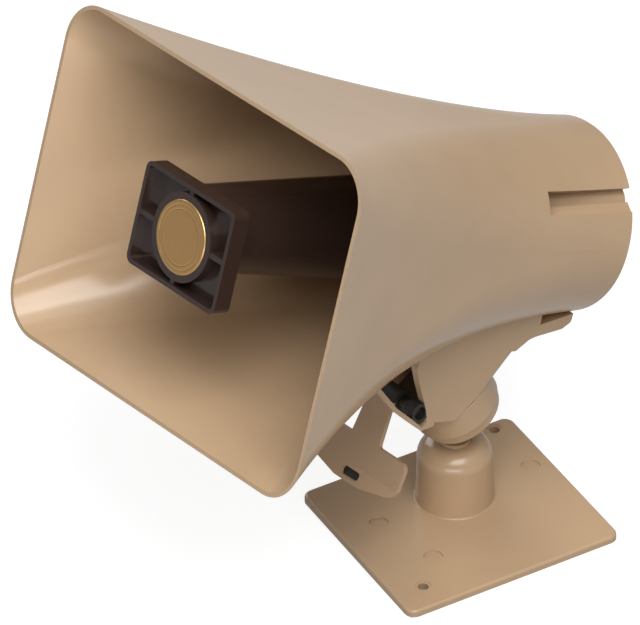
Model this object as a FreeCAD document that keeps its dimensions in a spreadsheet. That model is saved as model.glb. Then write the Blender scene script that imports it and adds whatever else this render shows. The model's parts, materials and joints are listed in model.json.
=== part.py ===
"""Re-entrant paging horn on a ball-joint base.

Row frame: +Z up, the mouth faces -Y, +X is the horn's left-hand side. The origin is the centre of the
base's two screw holes, on the underside of the plate.
Horn frame: origin at the ball's centre, -Y along the horn towards the mouth, +Z up through the bell.
Socket frame: the horn frame turned about X until its +Z is the axis of the ball's socket.
Lengths are in millimetres and angles in degrees.
"""
import FreeCAD, Part
import math
import os
import re

import Sketcher
from FreeCAD import Placement, Rotation, Vector

SIZES = {
    # Base plate and post.
    "plate_length": 158, "plate_width": 142, "plate_thickness": 5, "plate_corner": 7, "plate_edge": 1.8,
    "plate_shift_side": 6, "plate_shift_front": 3,
    "screw_side": 57.2, "screw_front": 60.7, "screw_radius": 3.5, "screw_seat_radius": 5.2, "screw_seat_depth": 0.6,
    "knockout_radius": 6.5, "knockout_depth": 1.2, "knockout_reach": 57.5,
    "knockout_side": 47.6, "knockout_front": 44.2,
    "post_side": 12.5, "post_back": 4, "post_height": 47, "post_foot_radius": 26, "post_head_radius": 24.4,
    "post_shoulder": 13, "post_foot_fillet": 1, "nut_pocket_radius": 15, "nut_pocket_depth": 22,
    # Ball stud.
    "ball_height": 78, "ball_radius": 24, "stem_radius": 8.5, "stem_flange_radius": 11, "stem_flange_height": 2.5,
    "shank_radius": 6, "shank_end": 6, "washer_radius": 12, "washer_thickness": 2, "nut_flats": 18, "nut_height": 9,
    # Pose of the horn on its ball.
    "horn_yaw": 5.7, "horn_pitch": 21.4, "horn_roll": 7.0, "socket_tilt": 46.5,
    # Socket.
    "running_gap": 0.06, "seat_gap": 0.05, "liner_thickness": 2, "lip_drop": 9.6,
    "collar_radius": 29.4, "collar_top": 18.3, "collar_step": 2.8, "collar_lip_radius": 28.6, "collar_edge": 1.2,
    "seam_width": 1.1, "seam_depth": 1.4,
    "saddle_radius": 16, "saddle_crown_radius": 8, "saddle_height": 33, "floor_thickness": 3.7,
    "guide_height": 8.5, "guide_wall": 4,
    # Housing between the collar and the bell.
    "cheek_thickness": 6, "core_corner": 28, "core_front": 72, "core_back": 43, "neck_overhang": 3,
    "joint_slope": 13.5, "joint_drop": 8.9, "tail_edge": 4, "boss_radius": 6.8, "boss_reach": 9, "guard_bar": 2.4,
    "guard_width": 3.4,
    # Lever and its cam.
    "pin_front": 56, "pin_up": 8, "pin_radius": 4.5, "pin_recess": 4, "hub_radius": 8,
    "lever_thickness": 3, "lever_ahead": 9.4, "hub_half_width": 11.5, "strap_half_width": 14,
    "bar_half_width": 43, "bar_top": 22, "bar_bottom": 50.5, "bar_end_rise": 4.5, "bar_middle": 12,
    "lever_lean": 9.5, "bar_corner": 5.5, "strap_corner": 2, "lip_height": 10, "lip_projection": 4,
    "slot_length": 17, "slot_width": 5.5,
    "cam_half_width": 8, "cam_offset": 1.5, "cam_gap": 0.15,
    "rocker_thickness": 3.4, "rocker_half_width": 12, "rocker_back": 20, "rocker_front": 38, "rocker_gap": 0.25,
    "rocker_pin_radius": 2.5, "rocker_pin_back": 15,
    # Bell.
    "mouth_width": 302, "mouth_height": 226, "mouth_reach": 262, "mouth_drop": 8, "mouth_corner": 29.7,
    "axis_height": 129.4, "bell_depth": 320, "rear_radius": 63.2, "body_taper": 7.6,
    "flare_side": 1.80, "flare_top": 1.555, "flare_bottom": 2.768, "flare_corner": 2.396,
    "bell_wall": 2.8, "mouth_rim": 1.2, "bulkhead_front": 30, "bulkhead_wall": 4, "rear_wall": 3.6,
    "boss_half_width": 12, "foot_boss_half_width": 24, "boss_depth": 9.5, "boss_gap": 0.3,
    "channel_half_width": 7.6, "channel_depth": 6, "channel_length": 80, "channel_angle": 30, "channel_run_out": 0.4,
    "pedestal_front": 67, "pedestal_back": 30,
    "bracket_screw_side": 16, "bracket_screw_inset": 18, "bracket_screw_radius": 2.5, "bracket_screw_head": 4.6,
    "bracket_screw_length": 17, "bracket_seat_drop": 6.7, "screw_head_height": 2.4,
    # Reflector, tone arm and throat tube.
    "reflector_width": 91, "reflector_height": 69, "reflector_ahead": 3, "reflector_depth": 12,
    "reflector_corner": 5.5, "reflector_rim": 3, "pocket_depth": 9, "ring_radius": 28.6, "ring_sink": 0.6,
    "rib_width": 3.6, "medallion_radius": 24, "medallion_thickness": 2, "medallion_sink": 1.2,
    "arm_front_radius": 27.6, "arm_front_rise": 5.5, "arm_rear_radius": 36.6, "arm_rear_drop": 4, "arm_wall": 2.2,
    "arm_rear": 46, "vane_width": 3, "vane_length": 60, "vane_front": 8,
    "tube_rear_radius": 13, "tube_front_radius": 15, "tube_wall": 2.2, "tube_front": 236,
    "tube_flange_radius": 30, "tube_flange_thickness": 4,
    # Driver and rear cover.
    "driver_radius": 52, "driver_plate": 7, "throat_radius": 12.6, "dome_radius": 19, "dome_height": 6,
    "coil_radius": 19.6, "coil_wall": 0.9, "coil_length": 9, "magnet_radius": 43, "magnet_hole": 25,
    "magnet_thickness": 15, "yoke_radius": 44, "yoke_thickness": 6, "pole_radius": 18.2,
    "driver_screw_circle": 47.4, "driver_screw_radius": 1.8,
    "driver_screw_head": 3.2, "driver_screw_length": 10,
    "transformer_width": 34, "transformer_height": 28, "transformer_depth": 22,
    "cover_thickness": 4, "cover_rim_gap": 0.3, "cover_recess": 1, "cover_dome": 2, "dome_radius_back": 42,
    "gasket_thickness": 1.5, "gasket_width": 7,
    "cover_screw_circle": 53, "cover_screw_radius": 1.8, "cover_screw_head": 3.4, "cover_screw_length": 13,
    "pillar_half_width": 5, "pillar_length": 18,
    "knob_radius": 9, "knob_height": 5, "knob_side": 20, "knob_up": 12, "knob_slot": 2, "knob_shaft": 3,
    "gland_drop": 30, "gland_radius": 8, "gland_flats": 22, "gland_body": 6, "gland_dome": 9, "gland_bore": 4,
    "locknut_thickness": 4,
}

doc = FreeCAD.newDocument("paging_horn")
sheet = doc.addObject("Spreadsheet::Sheet", "sizes")
for row, (word, number) in enumerate(SIZES.items(), start=1):
    sheet.set("A%d" % row, word)
    sheet.set("B%d" % row, str(number))
    sheet.setAlias("B%d" % row, word)
doc.recompute()

PARTS = []
X_AXIS = Vector(1, 0, 0)
Y_AXIS = Vector(0, 1, 0)
Z_AXIS = Vector(0, 0, 1)


def on_sheet(formula):
    """A formula in plain size names, written with the sheet's name before each."""
    return re.sub(r"[a-z]+(_[a-z]+)+", lambda word: "sizes." + word.group(), str(formula))


def number(formula):
    """The present value of a formula."""
    return float(sheet.evalExpression(on_sheet(formula)))


def bind(thing, name, formula):
    thing.setExpression(name, on_sheet(formula))


BASE_FRAME = None
BALL_FRAME = "placement(vector(-post_side; post_back; plate_thickness + ball_height); rotation(vector(0; 0; 1); 0))"
HORN_FRAME = (
    "placement(vector(-post_side; post_back; plate_thickness + ball_height); rotation(vector(0; 0; 1); horn_yaw))"
    " * placement(vector(0; 0; 0); rotation(vector(1; 0; 0); -horn_pitch))"
    " * placement(vector(0; 0; 0); rotation(vector(0; 1; 0); -horn_roll))"
)
SOCKET_FRAME = HORN_FRAME + " * placement(vector(0; 0; 0); rotation(vector(1; 0; 0); socket_tilt))"


def part(label, frame):
    """A body that is one sub-part, standing in one of the frames above."""
    body = doc.addObject("PartDesign::Body", label)
    body.Label = label
    if frame:
        bind(body, "Placement", frame)
    PARTS.append(body)
    return body


def plane(body, role):
    return next(item for item in body.Origin.OriginFeatures if item.Role == role)


def sketch(body, role, offset=("0", "0", "0"), turn=None):
    """A sketch on an origin plane; turn is (axis, angle formula) about the plane's own axes."""
    made = body.newObject("Sketcher::SketchObject", "outline")
    made.AttachmentSupport = [(plane(body, role), "")]
    made.MapMode = "FlatFace"
    if turn:
        made.AttachmentOffset = Placement(Vector(0, 0, 0), Rotation(turn[0], number(turn[1])))
        bind(made, "AttachmentOffset.Rotation.Angle", turn[1])
    for letter, formula in zip("xyz", offset):
        bind(made, "AttachmentOffset.Base." + letter, formula)
    return made


def fix_point(made, edge, end, at_x, at_y):
    """Hold one point of a sketch at formulas for its two coordinates."""
    for kind, axis_line, formula in (("DistanceX", -2, at_x), ("DistanceY", -1, at_y)):
        if str(formula) == "0":
            made.addConstraint(Sketcher.Constraint("PointOnObject", edge, end, axis_line))
        else:
            index = made.addConstraint(Sketcher.Constraint(kind, edge, end, number(formula)))
            bind(made, "Constraints[%d]" % index, formula)


def add_circle(made, radius, at=("0", "0")):
    centre = Vector(number(at[0]), number(at[1]), 0)
    edge = made.addGeometry(Part.Circle(centre, Z_AXIS, number(radius)))
    fix_point(made, edge, 3, at[0], at[1])
    index = made.addConstraint(Sketcher.Constraint("Radius", edge, number(radius)))
    bind(made, "Constraints[%d]" % index, radius)


def add_polygon(made, corners):
    """A closed outline through corners given as pairs of formulas."""
    points = [Vector(number(a), number(b), 0) for a, b in corners]
    count = len(points)
    first = made.GeometryCount
    for index in range(count):
        made.addGeometry(Part.LineSegment(points[index], points[(index + 1) % count]))
    for index in range(count):
        made.addConstraint(
            Sketcher.Constraint("Coincident", first + index, 2, first + (index + 1) % count, 1)
        )
        fix_point(made, first + index, 1, corners[index][0], corners[index][1])


def add_rectangle(made, low_x, high_x, low_y, high_y):
    add_polygon(made, [(low_x, low_y), (high_x, low_y), (high_x, high_y), (low_x, high_y)])


def add_rounded(made, low_x, high_x, low_y, high_y, radius):
    """A rectangle with tangent arcs at its corners."""
    left, right, low, high, bend = (number(item) for item in (low_x, high_x, low_y, high_y, radius))
    corners = [
        (right - bend, high - bend), (left + bend, high - bend), (left + bend, low + bend), (right - bend, low + bend),
    ]
    quarter_turn = math.pi / 2
    first = made.GeometryCount
    arcs = []
    for index, (at_x, at_y) in enumerate(corners):
        circle = Part.Circle(Vector(at_x, at_y, 0), Z_AXIS, bend)
        arcs.append(Part.ArcOfCircle(circle, index * quarter_turn, (index + 1) * quarter_turn))
    for index in range(4):
        made.addGeometry(arcs[index])
        made.addGeometry(Part.LineSegment(arcs[index].EndPoint, arcs[(index + 1) % 4].StartPoint))
    for index in range(4):
        arc = first + 2 * index
        after = first + (2 * index + 2) % 8
        made.addConstraint(Sketcher.Constraint("Tangent", arc, 2, arc + 1, 1))
        made.addConstraint(Sketcher.Constraint("Tangent", arc + 1, 2, after, 1))
        made.addConstraint(Sketcher.Constraint("Horizontal" if index % 2 == 0 else "Vertical", arc + 1))
    for index in (1, 2, 3):
        made.addConstraint(Sketcher.Constraint("Equal", first, first + 2 * index))
    held = [
        ("Radius", (first,), radius), ("DistanceY", (first + 1, 1), high_y), ("DistanceX", (first + 3, 1), low_x),
        ("DistanceY", (first + 5, 1), low_y), ("DistanceX", (first + 7, 1), high_x),
    ]
    for kind, where, formula in held:
        index = made.addConstraint(Sketcher.Constraint(kind, *where, number(formula)))
        bind(made, "Constraints[%d]" % index, formula)


def pad(body, made, length, both_ways=False, backwards=False):
    feature = body.newObject("PartDesign::Pad", "pad")
    feature.Profile = made
    feature.Midplane = both_ways
    feature.Reversed = backwards
    bind(feature, "Length", length)
    return feature


def pocket(body, made, length, both_ways=False, backwards=False):
    """Cut against the sketch's normal, or along it where backwards is set."""
    feature = body.newObject("PartDesign::Pocket", "pocket")
    feature.Profile = made
    feature.Midplane = both_ways
    feature.Reversed = backwards
    bind(feature, "Length", length)
    return feature


def round_edges(body, radius, chosen):
    """Fillet the edges that a test picks."""
    doc.recompute()
    base = body.Tip
    names = ["Edge%d" % (index + 1) for index, edge in enumerate(base.Shape.Edges) if chosen(edge)]
    feature = body.newObject("PartDesign::Fillet", "fillet")
    feature.Base = (base, names)
    bind(feature, "Radius", radius)


AXIS_TURNS = {"x": Rotation(Y_AXIS, 90), "y": Rotation(X_AXIS, -90), "z": Rotation()}


def primitive(body, kind, sizes, at=("0", "0", "0"), along="z"):
    """An additive or subtractive sphere, cylinder or cone; along is the direction its axis grows."""
    feature = body.newObject("PartDesign::" + kind, kind.lower())
    for name, formula in sizes.items():
        bind(feature, name, formula)
    feature.Placement = Placement(Vector(0, 0, 0), AXIS_TURNS[along])
    for letter, formula in zip("xyz", at):
        bind(feature, "Placement.Base." + letter, formula)
    return feature


def disc(body, radius, low, high, at=("0", "0"), along="z"):
    """An additive cylinder from one height to another along an axis."""
    return round_bar(body, "AdditiveCylinder", radius, low, high, at, along)


def bore(body, radius, low, high, at=("0", "0"), along="z"):
    """A round hole from one height to another along an axis."""
    return round_bar(body, "SubtractiveCylinder", radius, low, high, at, along)


def round_bar(body, kind, radius, low, high, at, along):
    places = {
        "x": (low, at[0], at[1]),
        "y": (at[0], low, at[1]),
        "z": (at[0], at[1], low),
    }
    sizes = {"Radius": radius, "Height": "(%s) - (%s)" % (high, low)}
    return primitive(body, kind, sizes, places[along], along)


def hexagon(body, flats, low, high, at=("0", "0"), along="z"):
    """A six-sided prism from one height to another along an axis."""
    places = {"y": (at[0], low, at[1]), "z": (at[0], at[1], low)}
    sizes = {"Circumradius": "(%s) / sqrt(3)" % flats, "Height": "(%s) - (%s)" % (high, low)}
    return primitive(body, "AdditivePrism", sizes, places[along], along)


def between(first, second, tolerance=0.01):
    return abs(first - second) < tolerance


# The base.

POST_AT = ("-post_side", "post_back")


def mount_base():
    """Cast base: a rectangular plate, an offset post and the pocket for the stud's nut."""
    body = part("mount_base", BASE_FRAME)
    outline = sketch(body, "XY_Plane")
    add_rounded(
        outline,
        "plate_shift_side - plate_width / 2", "plate_shift_side + plate_width / 2",
        "-plate_shift_front - plate_length / 2", "-plate_shift_front + plate_length / 2", "plate_corner",
    )
    pad(body, outline, "plate_thickness")
    top = number("plate_thickness")
    round_edges(body, "plate_edge", lambda edge: between(edge.BoundBox.ZMin, top) and between(edge.BoundBox.ZMax, top))
    primitive(
        body, "AdditiveCone",
        {"Radius1": "post_foot_radius", "Radius2": "post_head_radius", "Height": "post_height"},
        ("-post_side", "post_back", "plate_thickness"),
    )
    head = number("plate_thickness + post_height")
    round_edges(body, "post_shoulder", lambda edge: between(edge.BoundBox.ZMin, head))
    foot = number("post_foot_radius")
    round_edges(
        body, "post_foot_fillet",
        lambda edge: between(edge.BoundBox.ZMax, top) and between(edge.BoundBox.XLength, 2 * foot, 0.1),
    )
    for sign in ("", "-"):
        spot = (sign + "screw_side", "-1 * %s(screw_front)" % sign)
        bore(body, "screw_radius", "-1", "plate_thickness + 1", spot)
        bore(body, "screw_seat_radius", "plate_thickness - screw_seat_depth", "plate_thickness + 1", spot)
    marks = [
        ("-post_side", "post_back - knockout_reach"), ("-post_side", "post_back + knockout_reach"),
        ("knockout_side - post_side", "post_back - knockout_front"),
    ]
    for spot in marks:
        bore(body, "knockout_radius", "plate_thickness - knockout_depth", "plate_thickness + 1", spot)
    bore(body, "nut_pocket_radius", "-1", "nut_pocket_depth", POST_AT)
    bore(body, "shank_radius + seat_gap", "nut_pocket_depth - 1", "plate_thickness + post_height + 1", POST_AT)


def ball_stud():
    """The fixed ball with its stem, the flange on the post's head and the shank down to the nut."""
    body = part("ball_stud", BALL_FRAME)
    primitive(body, "AdditiveSphere", {"Radius": "ball_radius"})
    disc(body, "stem_radius", "post_height - ball_height", "0")
    disc(body, "stem_flange_radius", "post_height - ball_height", "post_height - ball_height + stem_flange_height")
    disc(body, "shank_radius", "shank_end - plate_thickness - ball_height", "post_height - ball_height + 1")


def stud_washer():
    body = part("stud_washer", BASE_FRAME)
    disc(body, "washer_radius", "nut_pocket_depth - washer_thickness", "nut_pocket_depth", POST_AT)
    bore(body, "shank_radius + seat_gap", "0", "nut_pocket_depth + 1", POST_AT)


def stud_nut():
    body = part("stud_nut", BASE_FRAME)
    top = "nut_pocket_depth - washer_thickness"
    hexagon(body, "nut_flats", top + " - nut_height", top, POST_AT)
    bore(body, "shank_radius + seat_gap", "0", "nut_pocket_depth", POST_AT)


# The socket.

LINER_INSIDE = "ball_radius + running_gap"
LINER_OUTSIDE = "ball_radius + running_gap + liner_thickness"
SEAT = "ball_radius + 2 * running_gap + liner_thickness"


def ball_liner():
    """Plastic bearing shell round the ball, open below for the stem."""
    body = part("ball_liner", SOCKET_FRAME)
    primitive(body, "AdditiveSphere", {"Radius": LINER_OUTSIDE})
    primitive(body, "SubtractiveSphere", {"Radius": LINER_INSIDE})
    bore(body, "ball_radius + 4 * liner_thickness", "-2 * ball_radius", "-lip_drop")


def pressure_saddle():
    """Cap that the cam presses onto the liner."""
    body = part("pressure_saddle", SOCKET_FRAME)
    disc(body, "saddle_radius", "0", "collar_top + guide_height")
    primitive(
        body, "AdditiveCone",
        {"Radius1": "saddle_radius", "Radius2": "saddle_crown_radius",
         "Height": "saddle_height - collar_top - guide_height"},
        ("0", "0", "collar_top + guide_height"),
    )
    primitive(body, "SubtractiveSphere", {"Radius": SEAT})


def collar_ring():
    """Retaining ring below the seam, with a spherical seat, a shadow groove at the seam and a stepped lip."""
    body = part("collar_ring", SOCKET_FRAME)
    disc(body, "collar_radius", "-collar_step", "collar_top - seam_width")
    top = number("collar_top - seam_width")
    step = number("-collar_step")
    round_edges(
        body, "collar_edge / 3", lambda edge: between(edge.BoundBox.ZMin, top) and between(edge.BoundBox.ZMax, top)
    )
    round_edges(
        body, "collar_edge", lambda edge: between(edge.BoundBox.ZMin, step) and between(edge.BoundBox.ZMax, step)
    )
    disc(body, "collar_radius - seam_depth", "0", "collar_top")
    primitive(
        body, "AdditiveCone",
        {"Radius1": "collar_lip_radius - 1.5", "Radius2": "collar_lip_radius",
         "Height": "lip_drop - collar_step + collar_edge"},
        ("0", "0", "-lip_drop"),
    )
    primitive(body, "SubtractiveSphere", {"Radius": SEAT})
    bore(body, "sqrt((%s)^2 - lip_drop^2)" % SEAT, "-lip_drop - 1", "0")


# The bell's outline, shared by the bell and by what lies against it.

REAR = "(bell_depth - mouth_reach)"
BELL_FLOOR = "(axis_height - rear_radius)"
STATIONS = [0, 0.06, 0.14, 0.25, 0.38, 0.52, 0.68, 0.84, 1]


def flared(at_mouth, power, station):
    """Half size of the bell at a station, 0 at the mouth and 1 at the rear."""
    tube = "(rear_radius + body_taper * (1 - %s))" % station
    return "(%s + (%s - rear_radius - body_taper) * (1 - %s)^%s)" % (tube, at_mouth, station, power)


def bell_sketch(body, station, growth):
    """The bell's section at a station, grown outwards by a formula."""
    made = sketch(body, "XZ_Plane", ("0", "axis_height", "mouth_reach - bell_depth * %s" % station))
    side = flared("mouth_width / 2", "flare_side", station)
    above = flared("(mouth_height / 2 - mouth_drop)", "flare_top", station)
    below = flared("(mouth_height / 2 + mouth_drop)", "flare_bottom", station)
    bend = "(mouth_corner + (rear_radius - 1.2 - mouth_corner) * (1 - (1 - %s)^flare_corner))" % station
    add_rounded(
        made, "-(%s + %s)" % (side, growth), "%s + %s" % (side, growth),
        "-(%s + %s)" % (below, growth), "%s + %s" % (above, growth), "%s + %s" % (bend, growth),
    )
    return made


def joint_height(back):
    """Height of the sloping joint between the housing and the bell's pedestal."""
    return "(%s - joint_drop + (%s) * tan(joint_slope * 1 deg))" % (BELL_FLOOR, back)


def bell_loft(body, kind, stations, growth):
    sketches = [bell_sketch(body, station, growth) for station in stations]
    feature = body.newObject("PartDesign::" + kind, "flare")
    feature.Profile = sketches[0]
    feature.Sections = sketches[1:]
    return feature


# The housing.

SINE = "sin(socket_tilt * 1 deg)"
COSINE = "cos(socket_tilt * 1 deg)"


def socket_point(across, up):
    """Side-view point of the horn frame, from a distance across the socket's axis and one along it."""
    return (
        "((%s) * %s - (%s) * %s)" % (across, COSINE, up, SINE),
        "((%s) * %s + (%s) * %s)" % (across, SINE, up, COSINE),
    )


def socket_disc(body, radius, low, high, cut=False, across="0"):
    """A cylinder about the socket's axis, in a body that stands in the horn frame."""
    place = socket_point(across, low)
    made = sketch(body, "XY_Plane", ("0", place[0], place[1]), (X_AXIS, "socket_tilt"))
    add_circle(made, radius)
    if cut:
        return pocket(body, made, "(%s) - (%s)" % (high, low), backwards=True)
    return pad(body, made, "(%s) - (%s)" % (high, low))


def tail_point(inset, drop):
    """Side-view point of the tail, from the bell's rear end and below the bell's rear floor."""
    return (REAR + " - " + inset, BELL_FLOOR + " - " + drop)


TAIL = [
    tail_point("44", "19.2"), tail_point("39.6", "15.8"), tail_point("28", "11.6"), tail_point("6", "7.3"),
    tail_point("1.5", "4.2"),
]
ABOVE_JOINT = BELL_FLOOR + " + 14"
FRONT_OF_ALL = "-140"
CHEEK_FRONT = [
    ("-67.5", ABOVE_JOINT), ("-67.5", "38.6"), ("-62", "27.8"), ("-55.6", "16.9"), ("-50", "6"), ("-49", "0.8"),
]


def socket_housing():
    """Bracket under the bell: round at the seam, it opens into two cheeks with guard bars and a long tail."""
    body = part("socket_housing", HORN_FRAME)
    tail = sketch(body, "YZ_Plane")
    add_polygon(tail, [(REAR + " - 70", TAIL[0][1])] + TAIL + [
        (REAR + " - 0.5", ABOVE_JOINT), (REAR + " - 70", ABOVE_JOINT),
    ])
    pad(body, tail, "2 * collar_radius", both_ways=True)
    side = number("collar_radius")
    tail_top = number(BELL_FLOOR)

    def tail_side(edge):
        box = edge.BoundBox
        outer = between(abs(box.XMin), side) and between(abs(box.XMax), side)
        return outer and box.ZMax < tail_top - 4 and box.YMin > number(REAR + " - 42") and box.YLength > 3
    round_edges(body, "tail_edge", tail_side)
    core_foot = socket_point("0", "collar_top")
    foot = sketch(body, "XY_Plane", ("0",) + core_foot, (X_AXIS, "socket_tilt"))
    add_rounded(
        foot, "-collar_radius", "collar_radius", "-collar_radius", "collar_radius + neck_overhang", "collar_radius - 0.2"
    )
    head = sketch(body, "XY_Plane", ("0", "0", joint_height("0")), (X_AXIS, "joint_slope"))
    add_rounded(head, "-collar_radius", "collar_radius", "-core_front", "core_back", "core_corner")
    core = body.newObject("PartDesign::AdditiveLoft", "core")
    core.Profile = foot
    core.Sections = [head]
    cheeks = sketch(body, "YZ_Plane")
    add_polygon(cheeks, CHEEK_FRONT + [
        socket_point("-16.4", "collar_top + 0.1"), socket_point("-2.4", "collar_top + 0.1"),
        ("-10", "30"), ("-10", ABOVE_JOINT),
    ])
    pad(body, cheeks, "2 * collar_radius", both_ways=True)
    front = sketch(body, "YZ_Plane")
    add_polygon(front, [(FRONT_OF_ALL, ABOVE_JOINT)] + CHEEK_FRONT + [("-38", "-16"), (FRONT_OF_ALL, "-60")])
    pocket(body, front, "4 * collar_radius", both_ways=True)
    bars = sketch(body, "YZ_Plane")
    add_polygon(bars, [
        ("-42", "-2"), ("-52", "-4.5"), ("-64", "2"), ("-79", "10.5"), ("-97", "25"), ("-112", "42"),
        ("-112", BELL_FLOOR + " - 4"), ("-112 + guard_bar", BELL_FLOOR + " - 4"), ("-112 + guard_bar", "43"),
        ("-96 + guard_bar / 2", "25 + guard_bar"), ("-78.5 + guard_bar / 2", "10.5 + guard_bar"),
        ("-63.5 + guard_bar / 2", "2 + guard_bar"), ("-52", "-4.5 + guard_bar"), ("-47", "3"), ("-42", "3"),
    ])
    pad(body, bars, "2 * collar_radius", both_ways=True)
    chamber = sketch(body, "YZ_Plane")
    floor = "collar_top + floor_thickness"
    add_polygon(chamber, [
        socket_point("-80", floor), socket_point("20", floor), (socket_point("20", floor)[0], ABOVE_JOINT),
        (FRONT_OF_ALL, ABOVE_JOINT), (FRONT_OF_ALL, "-45"),
    ])
    pocket(body, chamber, "2 * (collar_radius - cheek_thickness)", both_ways=True)
    between_bars = sketch(body, "YZ_Plane")
    add_polygon(between_bars, [
        ("-pin_front - boss_radius", "-20"), ("-pin_front - boss_radius", "20"), ("-72", "35"), ("-72", ABOVE_JOINT),
        (FRONT_OF_ALL, ABOVE_JOINT), (FRONT_OF_ALL, "-20"),
    ])
    pocket(body, between_bars, "2 * (collar_radius - guard_width)", both_ways=True)
    pin_at = ("-pin_front", "pin_up")
    disc(body, "boss_radius", "collar_radius - boss_reach", "collar_radius", pin_at, "x")
    disc(body, "boss_radius", "-collar_radius", "boss_reach - collar_radius", pin_at, "x")
    socket_disc(body, "saddle_radius + guide_wall", floor + " - 1", "collar_top + guide_height")
    socket_disc(body, "saddle_radius + running_gap", "collar_top - 1", "collar_top + guide_height + 1", cut=True)
    primitive(body, "SubtractiveSphere", {"Radius": SEAT})
    bore(body, "pin_radius + seat_gap", "-2 * collar_radius", "2 * collar_radius", pin_at, "x")
    rocker_pin_place = socket_point("rocker_pin_back", ROCKER_PIN_UP)
    bore(body, "rocker_pin_radius + seat_gap", "-2 * collar_radius", "0", rocker_pin_place, "x")
    bore(body, "rocker_pin_radius + seat_gap", "0", "collar_radius - 2", rocker_pin_place, "x")
    above = sketch(body, "YZ_Plane")
    add_polygon(above, [
        ("-100", joint_height("-100")), (REAR + " + 20", joint_height(REAR + " + 20")),
        (REAR + " + 20", ABOVE_JOINT + " + 40"), ("-100", ABOVE_JOINT + " + 40"),
    ])
    pocket(body, above, "4 * collar_radius", both_ways=True)
    for sign in ("", "-"):
        spot = (sign + "bracket_screw_side", BRACKET_SCREW_BACK)
        bore(body, "bracket_screw_radius + seat_gap", BRACKET_SEAT + " - 20", BRACKET_SEAT + " + 20", spot)
        bore(body, "bracket_screw_head + 0.4", BRACKET_SEAT + " - 20", BRACKET_SEAT, spot)
    bell_loft(body, "SubtractiveLoft", STATIONS, "seat_gap")


ROCKER_TOP = "saddle_height + rocker_gap + rocker_thickness"
ROCKER_PIN_UP = "saddle_height + rocker_gap + rocker_thickness + rocker_pin_radius + seat_gap"
BRACKET_SEAT = "(%s - bracket_seat_drop)" % BELL_FLOOR
BRACKET_SCREW_BACK = "(%s - bracket_screw_inset)" % REAR


def clamp_rocker():
    """Plate between the cam and the saddle, held down at its back by a cross pin."""
    body = part("clamp_rocker", SOCKET_FRAME)
    outline = sketch(body, "YZ_Plane")
    low = "saddle_height + rocker_gap"
    add_rectangle(outline, "-rocker_front", "rocker_back", low, ROCKER_TOP)
    pad(body, outline, "2 * rocker_half_width", both_ways=True)


def cross_pin(label, radius, place, low, high):
    """A pin across the housing."""
    body = part(label, HORN_FRAME)
    disc(body, radius, low, high, place, "x")


def clamp_lever():
    """T-shaped lever hanging from its pin, with a slotted lip that slopes outwards and a cam between the cheeks."""
    body = part("clamp_lever", HORN_FRAME)

    def front(height, inside="0"):
        plane_at = "pin_front + lever_ahead + (pin_up - (%s)) * tan(lever_lean * 1 deg)" % height
        return ("-(%s) + %s" % (plane_at, inside), height)
    fold = "lip_height - bar_bottom"
    side = sketch(body, "YZ_Plane")
    add_polygon(side, [
        front("pin_up"), front(fold), front("-bar_bottom", "-lip_projection"),
        front("-bar_bottom", "lever_thickness - lip_projection"), front(fold, "lever_thickness"),
        front("pin_up", "lever_thickness"),
    ])
    pad(body, side, "2 * bar_half_width", both_ways=True)
    for sign in ("", "-"):
        outside = sketch(body, "XZ_Plane", ("0", "0", "pin_front + lever_ahead + 50"))
        add_polygon(outside, [
            (sign + "hub_half_width", "pin_up + 1"), (sign + "hub_half_width", "pin_up"),
            (sign + "strap_half_width", "-bar_top"), (sign + "(bar_half_width + 1)", "-bar_top"),
            (sign + "(bar_half_width + 1)", "pin_up + 1"),
        ])
        pocket(body, outside, "pin_front + lever_ahead + 50")
        below = sketch(body, "XZ_Plane", ("0", "0", "pin_front + lever_ahead + 50"))
        add_polygon(below, [
            (sign + "bar_middle", "-bar_bottom"), (sign + "(bar_half_width - bar_corner)", "bar_end_rise - bar_bottom"),
            (sign + "(bar_half_width - bar_corner / 4)", "bar_end_rise - bar_bottom + bar_corner / 3"),
            (sign + "bar_half_width", "bar_end_rise - bar_bottom + bar_corner"),
            (sign + "(bar_half_width + 1)", "bar_end_rise - bar_bottom + bar_corner"),
            (sign + "(bar_half_width + 1)", "-bar_bottom - 1"), (sign + "bar_middle", "-bar_bottom - 1"),
        ])
        pocket(body, below, "pin_front + lever_ahead + 50")

    top = number("-bar_top")

    def corner_at(half_width):
        def chosen(edge):
            box = edge.BoundBox
            level = box.XLength < 0.01 and box.ZLength < 0.01 and between(box.ZMin, top)
            return level and between(abs(box.XMin), half_width)
        return chosen
    round_edges(body, "bar_corner", corner_at(number("bar_half_width")))
    round_edges(body, "strap_corner", corner_at(number("strap_half_width")))
    disc(body, "hub_radius", "-hub_half_width", "hub_half_width", ("-pin_front", "pin_up"), "x")
    cam_place = ("-pin_front + cam_offset * %s" % SINE, "pin_up - cam_offset * %s" % COSINE)
    above_rocker = "pin_front * %s + pin_up * %s - (%s)" % (SINE, COSINE, ROCKER_TOP)
    disc(body, above_rocker + " - cam_offset - cam_gap", "-cam_half_width", "cam_half_width", cam_place, "x")
    bore(body, "pin_radius + running_gap", "-30", "30", ("-pin_front", "pin_up"), "x")
    slot = sketch(body, "XZ_Plane", ("0", "-bar_bottom + lip_height / 2", "pin_front"))
    add_rounded(slot, "-slot_length / 2", "slot_length / 2", "-slot_width / 2", "slot_width / 2", "slot_width / 2 - 0.1")
    pocket(body, slot, "pin_front", backwards=True)


def bracket_screw(label, sign):
    """Pan-head screw up through the tail into the bell's foot boss."""
    body = part(label, HORN_FRAME)
    spot = (sign + "bracket_screw_side", BRACKET_SCREW_BACK)
    disc(body, "bracket_screw_radius", BRACKET_SEAT, BRACKET_SEAT + " + bracket_screw_length", spot)
    disc(body, "bracket_screw_head", BRACKET_SEAT + " - screw_head_height", BRACKET_SEAT, spot)


# The bell.

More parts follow.
